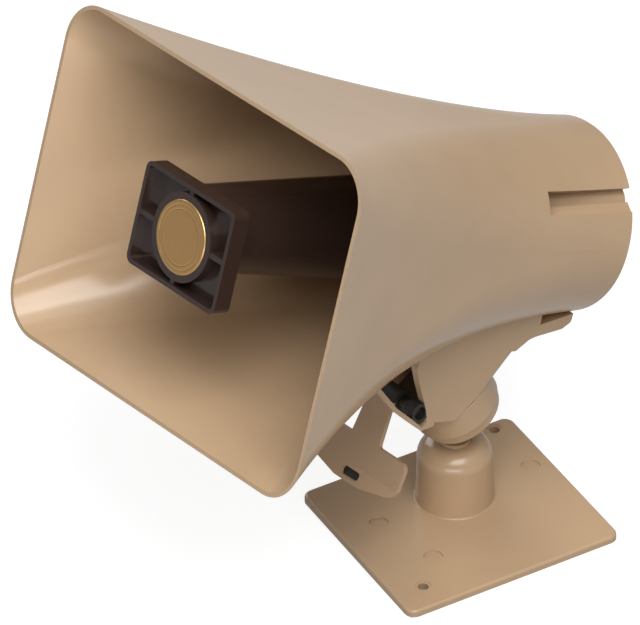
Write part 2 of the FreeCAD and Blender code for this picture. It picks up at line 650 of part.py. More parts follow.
def axis_sketch(body, ahead, angle=None):
    """A sketch across the horn's axis, at a distance ahead of the ball; angle turns it about that axis."""
    turn = (Z_AXIS, angle) if angle else None
    return sketch(body, "XZ_Plane", ("0", "axis_height", ahead), turn)


CHANNELS = [
    ("channel_angle - 90", "boss_half_width", 1), ("90 - channel_angle", "boss_half_width", -1),
    ("180", "foot_boss_half_width", 0),
]
COVER_BACK = REAR + " - cover_recess"
COVER_FACE = REAR + " - cover_recess - cover_thickness"
GASKET_FACE = COVER_FACE + " - gasket_thickness"
KNOB_AT = ("knob_side", "axis_height + knob_up")
GLAND_AT = ("0", "axis_height - gland_drop")
COVER_SCREW_ANGLES = ["0", "120", "240"]
DRIVER_SCREW_ANGLES = ["45", "135", "225", "315"]
DRIVER_FACE = "-bulkhead_front + bulkhead_wall"


def horn_bell():
    """Flared bell: a rounded rectangular mouth running back to a round tube, with a bulkhead and rear chamber."""
    body = part("horn_bell", HORN_FRAME)
    bell_loft(body, "AdditiveLoft", STATIONS, "0")
    pedestal = sketch(body, "YZ_Plane")
    add_polygon(pedestal, [
        ("-pedestal_front", joint_height("-pedestal_front")), ("pedestal_back", joint_height("pedestal_back")),
        ("pedestal_back", ABOVE_JOINT), ("-pedestal_front", ABOVE_JOINT),
    ])
    pad(body, pedestal, "2 * collar_radius", both_ways=True)
    inner_end = "((mouth_reach - bulkhead_front) / bell_depth)"
    inner = ["(-0.02)"] + ["(%s * %s)" % (station, inner_end) for station in STATIONS[2:]]
    bell_loft(body, "SubtractiveLoft", inner, "(-1 * bell_wall)")
    chamber = axis_sketch(body, "-" + REAR)
    add_circle(chamber, "rear_radius - rear_wall")
    pocket(body, chamber, "%s + bulkhead_front - bulkhead_wall" % REAR, backwards=True)
    for angle, width, low_side in CHANNELS:
        boss = axis_sketch(body, "-" + REAR, angle)
        add_rectangle(boss, "-" + width, width, "rear_radius - boss_depth", "rear_radius - 4 - (%s) / 8" % width)
        pad(body, boss, "channel_length + 8")
        channel = axis_sketch(body, "-" + REAR, angle)
        left = "channel_run_out" if low_side < 0 else "channel_depth"
        right = "channel_run_out" if low_side > 0 else "channel_depth"
        add_polygon(channel, [
            ("-channel_half_width", "rear_radius - 0.8 - " + left), ("channel_half_width", "rear_radius - 0.8 - " + right),
            ("channel_half_width", "rear_radius + 20"), ("-channel_half_width", "rear_radius + 20"),
        ])
        pocket(body, channel, "channel_length", backwards=True)
    for angle in COVER_SCREW_ANGLES:
        pillar = axis_sketch(body, "-(%s)" % GASKET_FACE, angle)
        add_rectangle(
            pillar, "-pillar_half_width", "pillar_half_width", "cover_screw_circle - pillar_half_width",
            "rear_radius - rear_wall / 2",
        )
        pad(body, pillar, "pillar_length")
        hole = axis_sketch(body, "-(%s)" % GASKET_FACE, angle)
        add_circle(hole, "cover_screw_radius + seat_gap", ("0", "cover_screw_circle"))
        pocket(body, hole, "cover_screw_length", backwards=True)
    throat = axis_sketch(body, "bulkhead_front - bulkhead_wall - 5")
    add_circle(throat, "tube_rear_radius + seat_gap")
    pocket(body, throat, "20", backwards=True)
    for angle in DRIVER_SCREW_ANGLES:
        hole = axis_sketch(body, "-(%s)" % DRIVER_FACE, angle)
        add_circle(hole, "driver_screw_radius + seat_gap", ("0", "driver_screw_circle"))
        pocket(body, hole, "driver_screw_length - driver_plate + 0.4", backwards=True)
    for sign in ("", "-"):
        spot = (sign + "bracket_screw_side", BRACKET_SCREW_BACK)
        bore(body, "bracket_screw_radius + seat_gap", BRACKET_SEAT, BRACKET_SEAT + " + bracket_screw_length + 0.5", spot)


# What stands inside the bell.

FACE = "mouth_reach + reflector_ahead"
ARM_FRONT = "mouth_reach + reflector_ahead - reflector_depth"


def reflector_front():
    """Front of the folded horn: a rimmed frame with four corner pockets, a ring and four ribs."""
    body = part("reflector_front", HORN_FRAME)
    frame = axis_sketch(body, ARM_FRONT)
    add_rounded(
        frame, "-reflector_width / 2", "reflector_width / 2", "-reflector_height / 2", "reflector_height / 2",
        "reflector_corner",
    )
    pad(body, frame, "reflector_depth")
    hollow = axis_sketch(body, FACE)
    add_rounded(
        hollow, "-reflector_width / 2 + reflector_rim", "reflector_width / 2 - reflector_rim",
        "-reflector_height / 2 + reflector_rim", "reflector_height / 2 - reflector_rim",
        "reflector_corner - reflector_rim",
    )
    pocket(body, hollow, "pocket_depth")
    ring = axis_sketch(body, FACE + " - pocket_depth")
    add_circle(ring, "ring_radius")
    pad(body, ring, "pocket_depth - ring_sink")
    for half_x, half_y in (
        ("rib_width / 2", "reflector_height / 2 - reflector_rim / 2"),
        ("reflector_width / 2 - reflector_rim / 2", "rib_width / 2"),
    ):
        rib = axis_sketch(body, FACE + " - pocket_depth")
        add_rectangle(rib, "-(%s)" % half_x, half_x, "-(%s)" % half_y, half_y)
        pad(body, rib, "pocket_depth - ring_sink * 2")
    recess = axis_sketch(body, FACE)
    add_circle(recess, "medallion_radius + seat_gap")
    pocket(body, recess, "ring_sink + medallion_sink")


def medallion():
    """Plain round badge set into the ring."""
    body = part("medallion", HORN_FRAME)
    badge = axis_sketch(body, FACE + " - ring_sink - medallion_sink")
    add_circle(badge, "medallion_radius")
    pad(body, badge, "medallion_thickness")
    face_y = -number(FACE + " - ring_sink - medallion_sink + medallion_thickness")
    round_edges(body, "medallion_thickness * 0.6", lambda edge: between(edge.BoundBox.YMin, face_y))


def arm_sketch(body, ahead, radius, shift):
    made = axis_sketch(body, ahead)
    add_circle(made, radius, ("0", shift))
    return made


def tone_arm():
    """Round duct behind the reflector, widening to the rear, with vanes that hold the throat tube."""
    body = part("tone_arm", HORN_FRAME)
    for kind, wall in (("AdditiveLoft", "0"), ("SubtractiveLoft", "arm_wall")):
        duct = body.newObject("PartDesign::" + kind, "duct")
        duct.Profile = arm_sketch(body, ARM_FRONT, "arm_front_radius - " + wall, "arm_front_rise")
        duct.Sections = [arm_sketch(body, "arm_rear", "arm_rear_radius - " + wall, "-arm_rear_drop")]
    for half_x, high, low in (
        ("vane_width / 2", "arm_front_rise + arm_front_radius - 1", "arm_front_radius - arm_front_rise - 1"),
        ("arm_front_radius - 1.5", "vane_width / 2", "vane_width / 2"),
    ):
        vane = axis_sketch(body, ARM_FRONT + " - vane_front")
        add_rectangle(vane, "-(%s)" % half_x, half_x, "-(%s)" % low, high)
        pad(body, vane, "vane_length", backwards=True)
    clear = axis_sketch(body, ARM_FRONT)
    add_circle(clear, "tube_front_radius + seat_gap")
    pocket(body, clear, ARM_FRONT + " - arm_rear")


def throat_tube():
    """Tube from the driver's throat to just behind the reflector."""
    body = part("throat_tube", HORN_FRAME)
    at = ("0", "axis_height")
    disc(body, "tube_flange_radius", "-bulkhead_front - tube_flange_thickness", "-bulkhead_front", at, "y")
    disc(body, "tube_rear_radius", "-bulkhead_front", "-bulkhead_front + bulkhead_wall", at, "y")
    outer = axis_sketch(body, "bulkhead_front + tube_flange_thickness")
    add_circle(outer, "tube_rear_radius")
    wide = axis_sketch(body, ARM_FRONT + " - vane_front - vane_length - 4")
    add_circle(wide, "tube_front_radius")
    swell = body.newObject("PartDesign::AdditiveLoft", "swell")
    swell.Profile = outer
    swell.Sections = [wide]
    disc(body, "tube_front_radius", "-tube_front", "-(%s) + vane_front + vane_length + 4" % ARM_FRONT, at, "y")
    narrow = axis_sketch(body, "bulkhead_front - bulkhead_wall - 1")
    add_circle(narrow, "tube_rear_radius - tube_wall")
    open_end = axis_sketch(body, "tube_front + 1")
    add_circle(open_end, "tube_front_radius - tube_wall")
    way = body.newObject("PartDesign::SubtractiveLoft", "way")
    way.Profile = narrow
    way.Sections = [open_end]


# The driver.

MAGNET_FACE = DRIVER_FACE + " + driver_plate"
YOKE_FACE = MAGNET_FACE + " + magnet_thickness"
ON_AXIS = ("0", "axis_height")


def driver_plate():
    """Front plate of the compression driver, with its throat."""
    body = part("driver_plate", HORN_FRAME)
    disc(body, "driver_radius", DRIVER_FACE, MAGNET_FACE, ON_AXIS, "y")
    bore(body, "throat_radius", DRIVER_FACE + " - 1", MAGNET_FACE, ON_AXIS, "y")
    bore(body, "coil_radius + 1.2", DRIVER_FACE + " + 3", MAGNET_FACE + " + 1", ON_AXIS, "y")
    for angle in DRIVER_SCREW_ANGLES:
        hole = axis_sketch(body, "-(%s)" % DRIVER_FACE, angle)
        add_circle(hole, "driver_screw_radius + seat_gap", ("0", "driver_screw_circle"))
        pocket(body, hole, "driver_plate")


def driver_screw(label, angle):
    body = part(label, HORN_FRAME)
    for radius, length, backwards in (
        ("driver_screw_radius", "driver_screw_length", False), ("driver_screw_head", "screw_head_height", True),
    ):
        made = axis_sketch(body, "-(%s)" % MAGNET_FACE, angle)
        add_circle(made, radius, ("0", "driver_screw_circle"))
        pad(body, made, length, backwards=backwards)


def diaphragm():
    """Shallow domed cap in front of the voice coil."""
    body = part("diaphragm", HORN_FRAME)
    start = DRIVER_FACE + " + 3.1"
    disc(body, "dome_radius", start, start + " + 0.8", ON_AXIS, "y")


def voice_coil():
    body = part("voice_coil", HORN_FRAME)
    start = DRIVER_FACE + " + 3.9"
    disc(body, "coil_radius", start, start + " + coil_length", ON_AXIS, "y")
    bore(body, "coil_radius - coil_wall", start + " - 1", start + " + coil_length + 1", ON_AXIS, "y")


def magnet():
    body = part("magnet", HORN_FRAME)
    disc(body, "magnet_radius", MAGNET_FACE, YOKE_FACE, ON_AXIS, "y")
    bore(body, "magnet_hole", MAGNET_FACE + " - 1", YOKE_FACE + " + 1", ON_AXIS, "y")


def yoke():
    """Back plate with the pole that reaches into the coil."""
    body = part("yoke", HORN_FRAME)
    disc(body, "yoke_radius", YOKE_FACE, YOKE_FACE + " + yoke_thickness", ON_AXIS, "y")
    disc(body, "pole_radius", DRIVER_FACE + " + 5.2", YOKE_FACE + " + 1", ON_AXIS, "y")


TRANSFORMER_FACE = YOKE_FACE + " + yoke_thickness"


def transformer():
    """Line transformer behind the driver."""
    body = part("transformer", HORN_FRAME)
    core = axis_sketch(body, "-(%s)" % TRANSFORMER_FACE)
    add_rectangle(
        core, "-transformer_width / 2", "transformer_width / 2", "-transformer_height / 2", "transformer_height / 2"
    )
    pad(body, core, "transformer_depth", backwards=True)


# The rear cover.

def notch_for_bosses(body, back, depth):
    """Cut a disc back where the channels' bosses run past it."""
    for angle, width, low_side in CHANNELS:
        notch = axis_sketch(body, "-(%s)" % back, angle)
        add_rectangle(
            notch, "-%s - boss_gap" % width, width + " + boss_gap", "rear_radius - boss_depth - boss_gap", "rear_radius + 5"
        )
        pocket(body, notch, depth, backwards=True)


def rear_cover():
    """Round cover let into the rear end, with a raised middle, the switch hole and the inlet hole."""
    body = part("rear_cover", HORN_FRAME)
    disc(body, "rear_radius - rear_wall - cover_rim_gap", COVER_FACE, COVER_BACK, ON_AXIS, "y")
    primitive(
        body, "AdditiveCone",
        {"Radius1": "dome_radius_back", "Radius2": "dome_radius_back - 2 * cover_dome", "Height": "cover_dome"},
        ("0", COVER_BACK, "axis_height"), "y",
    )
    notch_for_bosses(body, COVER_BACK + " + 1", "cover_thickness + 2")
    bore(body, "gland_radius + seat_gap", COVER_FACE + " - 1", COVER_BACK + " + cover_dome + 1", GLAND_AT, "y")
    bore(body, "knob_shaft + running_gap", COVER_FACE + " - 1", COVER_BACK + " + cover_dome + 1", KNOB_AT, "y")
    for angle in COVER_SCREW_ANGLES:
        hole = axis_sketch(body, "-(%s)" % COVER_BACK, angle)
        add_circle(hole, "cover_screw_radius + seat_gap", ("0", "cover_screw_circle"))
        pocket(body, hole, "cover_thickness + 1", backwards=True)


def cover_gasket():
    body = part("cover_gasket", HORN_FRAME)
    disc(body, "rear_radius - rear_wall - cover_rim_gap", GASKET_FACE, COVER_FACE, ON_AXIS, "y")
    bore(body, "cover_screw_circle - gasket_width / 2", GASKET_FACE + " - 1", COVER_FACE + " + 1", ON_AXIS, "y")
    notch_for_bosses(body, COVER_FACE + " + 1", "gasket_thickness + 2")
    for angle in COVER_SCREW_ANGLES:
        hole = axis_sketch(body, "-(%s)" % COVER_FACE, angle)
        add_circle(hole, "cover_screw_radius + seat_gap", ("0", "cover_screw_circle"))
        pocket(body, hole, "gasket_thickness + 1", backwards=True)


def cover_screw(label, angle):
    body = part(label, HORN_FRAME)
    for radius, length, backwards in (
        ("cover_screw_radius", "cover_screw_length", False), ("cover_screw_head", "screw_head_height", True),
    ):
        made = axis_sketch(body, "-(%s)" % COVER_BACK, angle)
        add_circle(made, radius, ("0", "cover_screw_circle"))
        pad(body, made, length, backwards=backwards)


def tap_knob():
    """Slotted selector for the power taps."""
    body = part("tap_knob", HORN_FRAME)
    base = COVER_BACK + " + cover_dome + running_gap"
    disc(body, "knob_radius", base, base + " + knob_height", KNOB_AT, "y")
    disc(body, "knob_shaft", COVER_FACE + " - 3", base + " + 1", KNOB_AT, "y")
    slot = sketch(body, "XZ_Plane", (KNOB_AT[0], KNOB_AT[1], "-(%s + knob_height)" % base))
    add_rectangle(slot, "-knob_slot / 2", "knob_slot / 2", "-knob_radius - 1", "knob_radius + 1")
    pocket(body, slot, "knob_height / 2", backwards=True)


def cable_gland():
    """Inlet gland with its hexagon and domed nut; no cord comes out of it."""
    body = part("cable_gland", HORN_FRAME)
    seat = COVER_BACK + " + cover_dome"
    disc(body, "gland_radius", COVER_FACE + " - locknut_thickness - 2", seat + " + 1", GLAND_AT, "y")
    hexagon(body, "gland_flats", seat, seat + " + gland_body", GLAND_AT, "y")
    primitive(
        body, "AdditiveCone",
        {"Radius1": "gland_flats / 2 - 1", "Radius2": "gland_bore + 2.5", "Height": "gland_dome"},
        (GLAND_AT[0], seat + " + gland_body", GLAND_AT[1]), "y",
    )
    bore(body, "gland_bore", COVER_FACE + " - 20", seat + " + 40", GLAND_AT, "y")


def gland_locknut():
    body = part("gland_locknut", HORN_FRAME)
    hexagon(body, "gland_flats", COVER_FACE + " - locknut_thickness", COVER_FACE, GLAND_AT, "y")
    bore(body, "gland_radius + seat_gap", COVER_FACE + " - locknut_thickness - 1", COVER_FACE + " + 1", GLAND_AT, "y")


mount_base()
ball_stud()
stud_washer()
stud_nut()
ball_liner()
pressure_saddle()
collar_ring()
socket_housing()
clamp_rocker()
cross_pin(
    "lever_pin", "pin_radius", ("-pin_front", "pin_up"), "pin_recess - collar_radius", "collar_radius - pin_recess",
)
cross_pin(
    "rocker_pin", "rocker_pin_radius", socket_point("rocker_pin_back", ROCKER_PIN_UP),
    "2 - collar_radius", "collar_radius - 2",
)
clamp_lever()
for index, sign in enumerate(("", "-"), start=1):
    bracket_screw("bracket_screw_%d" % index, sign)
horn_bell()
reflector_front()
medallion()
tone_arm()
throat_tube()
driver_plate()
for index, angle in enumerate(DRIVER_SCREW_ANGLES, start=1):
    driver_screw("driver_screw_%d" % index, angle)
diaphragm()
voice_coil()
magnet()
yoke()
transformer()
rear_cover()
cover_gasket()
for index, angle in enumerate(COVER_SCREW_ANGLES, start=1):
    cover_screw("cover_screw_%d" % index, angle)
tap_knob()
cable_gland()
gland_locknut()

doc.recompute()
failed = [item.Name for item in doc.Objects if "Invalid" in item.State or "Error" in item.State]
for body in PARTS:
    if body.Shape.isNull() or not body.Shape.isValid() or not body.Shape.Solids:
        failed.append(body.Label)
if failed:
    raise RuntimeError("not built: " + ", ".join(failed))

os.makedirs("parts", exist_ok=True)
for body in PARTS:
    body.Shape.exportStep("parts/%s.step" % body.Label)
    box = body.Shape.BoundBox
    print(body.Label, len(body.Shape.Solids), "volume %.1f" % body.Shape.Volume, "box %.1f %.1f %.1f" % (
        box.XLength, box.YLength, box.ZLength))
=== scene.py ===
"""Looks of a paging horn on a ball-joint base. Lengths are in metres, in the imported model's frame."""

import json
import math

import bmesh
import bpy
from mathutils import Matrix, Vector


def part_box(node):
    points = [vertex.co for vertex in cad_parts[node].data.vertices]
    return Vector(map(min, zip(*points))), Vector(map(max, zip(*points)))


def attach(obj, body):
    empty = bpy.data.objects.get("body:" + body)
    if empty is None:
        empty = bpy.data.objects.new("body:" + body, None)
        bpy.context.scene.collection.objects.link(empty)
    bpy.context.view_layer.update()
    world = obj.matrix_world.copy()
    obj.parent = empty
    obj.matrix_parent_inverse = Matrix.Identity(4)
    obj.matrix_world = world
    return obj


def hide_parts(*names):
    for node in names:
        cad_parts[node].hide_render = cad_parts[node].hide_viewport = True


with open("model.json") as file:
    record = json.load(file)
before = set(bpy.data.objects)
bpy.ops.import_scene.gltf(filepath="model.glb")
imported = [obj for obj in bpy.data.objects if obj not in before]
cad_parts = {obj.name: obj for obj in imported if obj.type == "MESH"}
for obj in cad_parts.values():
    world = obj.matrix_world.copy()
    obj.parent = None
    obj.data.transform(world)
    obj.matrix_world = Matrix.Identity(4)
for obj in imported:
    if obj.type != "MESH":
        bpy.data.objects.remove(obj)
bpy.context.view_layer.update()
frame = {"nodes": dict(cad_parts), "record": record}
NODES = frame["nodes"]

# The photograph's camera.
IMAGE_WIDTH = 640
IMAGE_HEIGHT = 625
CAMERA_AZIMUTH = math.radians(59.46)
CAMERA_ELEVATION = math.radians(39.71)
CAMERA_DISTANCE = 5.5
FOCAL_PIXELS = 8442.4
PLATE_CENTRE = Vector((0.006, -0.003, 0.005))
PLATE_PIXEL_X = 460.0
PLATE_PIXEL_Y = 513.2
SENSOR_WIDTH = 36.0

# The soft boxes, all turned to one point: name, azimuth, elevation, distance, width, height and power.
LIGHT_AIM = Vector((0, -0.06, 0.16))
SOFT_BOXES = (
    ("key", 69, 61, 2.2, 1.6, 1.6, 49),
    ("side", 110, 58, 2.2, 1.2, 1.2, 4),
    ("top", 0, 86, 2.2, 1.4, 1.4, 9),
    ("back", 268, 28, 2.4, 1.2, 1.2, 15),
    ("low", 56, 3, 2.2, 1.9, 0.25, 14),
)

# The studio and its floor, where a strength of 1 is white.
# The mirrored ones say how bright a glossy surface shows them.
STUDIO_ON_THINGS = 0.075
STUDIO_SEEN = 1.0
MIRRORED_STUDIO = 0.2
MIRRORED_FLOOR = 0.4
FLOOR_GLOW = 0.85
FLOOR_GREY = 0.3
FLOOR_ROUGHNESS = 0.9
FLOOR_SIZE = 14
FLOOR_HEIGHT = -0.0005
PLATE_MARGIN = 0.002

# Moulded plastic: broad clouding of colour and gloss, and a fine surface waviness.
CLOUD_SCALE = 14
CLOUD_DETAIL = 4
CLOUD_LOW = 0.3
CLOUD_HIGH = 0.7
MOTTLING = 0.04
GLOSS_SPREAD = 0.12
GRAIN_SCALE = 900
GRAIN_DETAIL = 2
GRAIN_STRENGTH = 0.25
GRAIN_DEPTH = 0.00002

# Metal: fine wear in its gloss.
WEAR_SCALE = 260
WEAR_DETAIL = 2
WEAR_SPREAD = 0.3

# The pressed badge: the height of its foil in the middle, at the edge and at shares of the radius between,
# and the pebbles on it.
BADGE_RADIUS = 0.024
BADGE_MIDDLE = 0.5
BADGE_EDGE = 0.9
BADGE_PROFILE = ((0.72, 0.5), (0.745, 0.0), (0.77, 0.6), (0.84, 0.6), (0.865, 0.0), (0.89, 0.9))
BADGE_STRENGTH = 0.8
BADGE_DEPTH = 0.0006
PEBBLE_SCALE = 900
PEBBLE_STRENGTH = 0.35
PEBBLE_DEPTH = 0.0001

# The horn's own frame, and the lever's pin and slotted lip in it, as the part's source has them.
HORN_YAW = 5.7
HORN_PITCH = -21.4
HORN_ROLL = -7.0
HORN_PLACE = Vector((-0.0125, 0.004, 0.083))
PIN_Y = -0.056
PIN_Z = 0.008
LIP_BACK = -0.07335
LIP_SLOPE = 0.567
SLOT_Z = -0.0455
SLOT_STRAIGHT = 0.0115
SLOT_RADIUS = 0.0027

# Painted shade round the lever's pin: black faces on the lever's hub and the housing's bosses, by distance from
# the horn's middle plane and from the pin's axis.
HUB_SHADE_END = 0.0116
HUB_SHADE_RADIUS = 0.0083
BOSS_SHADE_START = 0.0117
BOSS_SHADE_END = 0.03
BOSS_SHADE_RADIUS = 0.0070

# The dark plate of painted shade in the slot: how many corners go round it, and for each of its rings the
# distance from the slot's wall and from the lip's back.
SLOT_STEPS = 24
SLOT_RINGS = ((0.0004, 0.0002), (0, 0.0004), (0, 0.0008), (0.0004, 0.001))


def away_from_mouth(azimuth, elevation):
    """The direction to an azimuth, counted in radians from the mouth's side towards +X, and an elevation."""
    return Vector((
        math.sin(azimuth) * math.cos(elevation),
        -math.cos(azimuth) * math.cos(elevation),
        math.sin(elevation),
    ))


def add_object(name, data):
    thing = bpy.data.objects.new(name, data)
    bpy.context.scene.collection.objects.link(thing)
    return thing


def add_camera():
    """A camera that puts the plate's centre at its pixel of the photograph, with no shift."""
    away = away_from_mouth(CAMERA_AZIMUTH, CAMERA_ELEVATION)
    right = Vector((0, 0, 1)).cross(away).normalized()
    up = away.cross(right)
    aim = -away
    aim += right * (IMAGE_WIDTH / 2 - PLATE_PIXEL_X) / FOCAL_PIXELS
    aim += up * (PLATE_PIXEL_Y - IMAGE_HEIGHT / 2) / FOCAL_PIXELS
    back = -aim.normalized()
    side = (right - right.dot(back) * back).normalized()
    turn = Matrix((side, back.cross(side), back)).transposed().to_4x4()
    data = bpy.data.cameras.new("camera")
    data.sensor_width = SENSOR_WIDTH
    data.lens = FOCAL_PIXELS * SENSOR_WIDTH / IMAGE_WIDTH
    camera = add_object("camera", data)
    camera.matrix_world = Matrix.Translation(PLATE_CENTRE + away * CAMERA_DISTANCE) @ turn
    bpy.context.scene.camera = camera


def new_material(name):
    material = bpy.data.materials.new(name)
    material.use_nodes = True
    return material, material.node_tree.nodes, material.node_tree.links


def noise(nodes, links, place, scale, detail):
    texture = nodes.new("ShaderNodeTexNoise")
    texture.inputs["Scale"].default_value = scale
    texture.inputs["Detail"].default_value = detail
    links.new(place.outputs["Object"], texture.inputs["Vector"])
    return texture


def vary_gloss(nodes, links, texture, roughness, spread):
    """The shader's roughness, varied by a share of itself after a texture."""
    gloss = nodes.new("ShaderNodeMapRange")
    gloss.inputs["To Min"].default_value = roughness * (1 - spread)
    gloss.inputs["To Max"].default_value = roughness * (1 + spread)
    links.new(texture.outputs["Fac"], gloss.inputs["Value"])
    links.new(gloss.outputs["Result"], nodes["Principled BSDF"].inputs["Roughness"])


def bump(nodes, links, height, strength, depth):
    node = nodes.new("ShaderNodeBump")
    node.inputs["Strength"].default_value = strength
    node.inputs["Distance"].default_value = depth
    links.new(height, node.inputs["Height"])
    return node


def calculate(nodes, links, operation, first, second=None):
    """The output of a maths node on a socket and, if the operation takes two, a number or another socket."""
    node = nodes.new("ShaderNodeMath")
    node.operation = operation
    links.new(first, node.inputs[0])
    if isinstance(second, (int, float)):
        node.inputs[1].default_value = second
    elif second is not None:
        links.new(second, node.inputs[1])
    return node.outputs[0]


def moulded(name, colour, roughness):
    """Moulded or painted plastic."""
    material, nodes, links = new_material(name)
    shader = nodes["Principled BSDF"]
    place = nodes.new("ShaderNodeTexCoord")
    clouds = noise(nodes, links, place, CLOUD_SCALE, CLOUD_DETAIL)
    tint = nodes.new("ShaderNodeValToRGB")
    tint.color_ramp.elements[0].position = CLOUD_LOW
    tint.color_ramp.elements[1].position = CLOUD_HIGH
    tint.color_ramp.elements[0].color = (*[c * (1 - MOTTLING) for c in colour], 1)
    tint.color_ramp.elements[1].color = (*[c * (1 + MOTTLING) for c in colour], 1)
    links.new(clouds.outputs["Fac"], tint.inputs["Fac"])
    links.new(tint.outputs["Color"], shader.inputs["Base Color"])
    vary_gloss(nodes, links, clouds, roughness, GLOSS_SPREAD)
    fine = noise(nodes, links, place, GRAIN_SCALE, GRAIN_DETAIL)
    grain = bump(nodes, links, fine.outputs["Fac"], GRAIN_STRENGTH, GRAIN_DEPTH)
    links.new(grain.outputs["Normal"], shader.inputs["Normal"])
    return material


def metal(name, colour, roughness):
    """Plated or machined metal."""
    material, nodes, links = new_material(name)
    shader = nodes["Principled BSDF"]
    shader.inputs["Metallic"].default_value = 1.0
    shader.inputs["Base Color"].default_value = (*colour, 1)
    place = nodes.new("ShaderNodeTexCoord")
    wear = noise(nodes, links, place, WEAR_SCALE, WEAR_DETAIL)
    vary_gloss(nodes, links, wear, roughness, WEAR_SPREAD)
    return material


def embossed_foil(name, colour, roughness, node, radius):
    """Pressed metal foil on a round badge, bare but for two rings near its edge and fine pebbling."""
    material = metal(name, colour, roughness)
    nodes = material.node_tree.nodes
    links = material.node_tree.links
    low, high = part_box(node)
    place = nodes.new("ShaderNodeTexCoord")
    from_middle = nodes.new("ShaderNodeVectorMath")
    from_middle.operation = "SUBTRACT"
    from_middle.inputs[1].default_value = [(a + b) / 2 for a, b in zip(low, high)]
    links.new(place.outputs["Object"], from_middle.inputs[0])
    length = nodes.new("ShaderNodeVectorMath")
    length.operation = "LENGTH"
    links.new(from_middle.outputs[0], length.inputs[0])
    share = calculate(nodes, links, "DIVIDE", length.outputs["Value"], radius)
    rings = nodes.new("ShaderNodeValToRGB")
    stops = rings.color_ramp.elements
    stops[0].color = (BADGE_MIDDLE, BADGE_MIDDLE, BADGE_MIDDLE, 1)
    stops[1].color = (BADGE_EDGE, BADGE_EDGE, BADGE_EDGE, 1)
    for position, level in BADGE_PROFILE:
        stops.new(position).color = (level, level, level, 1)
    links.new(share, rings.inputs["Fac"])
    pebbles = nodes.new("ShaderNodeTexVoronoi")
    pebbles.inputs["Scale"].default_value = PEBBLE_SCALE
    links.new(place.outputs["Object"], pebbles.inputs["Vector"])
    fine = bump(nodes, links, pebbles.outputs["Distance"], PEBBLE_STRENGTH, PEBBLE_DEPTH)
    pressed = bump(nodes, links, rings.outputs["Color"], BADGE_STRENGTH, BADGE_DEPTH)
    links.new(fine.outputs["Normal"], pressed.inputs["Normal"])
    links.new(pressed.outputs["Normal"], nodes["Principled BSDF"].inputs["Normal"])
    return material


BEIGE = (0.50, 0.343, 0.208)
MATERIALS = {
    "beige": moulded("beige_plastic", BEIGE, 0.21),
    "lever_beige": moulded("lever_plastic", (0.44, 0.297, 0.182), 0.25),
    "painted_ball": moulded("ball_paint", BEIGE, 0.18),
    "dark_brown": moulded("brown_plastic", (0.034, 0.019, 0.015), 0.15),
    "gold": embossed_foil("gold_foil", (0.64, 0.385, 0.155), 0.38, "medallion", BADGE_RADIUS),
    "bearing_plastic": moulded("bearing_plastic", (0.55, 0.53, 0.48), 0.5),
    "steel": metal("plated_steel", (0.60, 0.60, 0.60), 0.3),
    "dark_steel": metal("dark_steel", (0.10, 0.09, 0.08), 0.45),
    "zinc": metal("zinc_plate", (0.62, 0.62, 0.60), 0.38),
    "copper": metal("copper_wire", (0.70, 0.36, 0.20), 0.35),
    "ferrite": moulded("ferrite", (0.02, 0.02, 0.022), 0.6),
    "laminations": moulded("laminations", (0.05, 0.05, 0.055), 0.55),
    # The black rubber also serves as painted shade round the lever's pin and in the slot of its lip.
    "black_rubber": moulded("black_rubber", (0.014, 0.012, 0.010), 0.6),
}


def horn_frame():
    """The horn's own frame, as the part's source places it: X to the camera's side, -Y out of the mouth."""
    turn = Matrix.Rotation(math.radians(HORN_YAW), 4, "Z") @ Matrix.Rotation(math.radians(HORN_PITCH), 4, "X")
    return Matrix.Translation(HORN_PLACE) @ turn @ Matrix.Rotation(math.radians(HORN_ROLL), 4, "Y")


def finish_nodes():
    """Each node of the frame gets the material of its slot."""
    for entry in frame["record"]["subparts"]:
        node = NODES[entry["node"]]
        node.data.materials.clear()
        node.data.materials.append(MATERIALS[entry["material_slot"]])


def paint_shade_round_pin(name, body, slot, low, high, radius):
    """A copy of a node with painted shade, black faces round the lever's pin, from low to high along it."""
    node = NODES[name]
    mesh = node.data.copy()
    skin = add_object(name + "_painted_shade", mesh)
    skin.matrix_world = node.matrix_world.copy()
    mesh.materials.clear()
    mesh.materials.append(MATERIALS[slot])
    # The black rubber material is the painted shade on these faces.
    mesh.materials.append(MATERIALS["black_rubber"])
    to_horn = horn_frame().inverted() @ skin.matrix_world
    for face in mesh.polygons:
        points = [to_horn @ mesh.vertices[k].co for k in face.vertices]
        near_pin = all(math.hypot(point.y - PIN_Y, point.z - PIN_Z) < radius for point in points)
        if near_pin and all(low <= abs(point.x) <= high for point in points):
            face.material_index = 1
    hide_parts(name)
    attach(skin, body)


def add_shade_plate_in_slot():
    """A thin dark plate of painted shade that closes the back of the slot in the lever's lip."""
    mesh = bmesh.new()
    rings = []
    for inset, ahead in SLOT_RINGS:
        ring = []
        for step in range(SLOT_STEPS):
            angle = 2 * math.pi * (step + 0.5) / SLOT_STEPS
            middle = math.copysign(SLOT_STRAIGHT / 2, math.cos(angle))
            across = middle + (SLOT_RADIUS - inset) * math.cos(angle)
            up = (SLOT_RADIUS - inset) * math.sin(angle)
            ring.append(mesh.verts.new((across, LIP_BACK + up * LIP_SLOPE - ahead, SLOT_Z + up)))
        rings.append(ring)
    for first, second in zip(rings, rings[1:]):
        for step in range(SLOT_STEPS):
            after = (step + 1) % SLOT_STEPS
            mesh.faces.new((first[step], first[after], second[after], second[step]))
    mesh.faces.new(rings[0])
    mesh.faces.new(rings[-1])
    bmesh.ops.recalc_face_normals(mesh, faces=mesh.faces[:])
    data = bpy.data.meshes.new("slot_shade_plate")
    mesh.to_mesh(data)
    mesh.free()
    data.materials.append(MATERIALS["black_rubber"])
    plate = add_object("slot_shade_plate", data)
    plate.matrix_world = horn_frame()
    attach(plate, "lever")


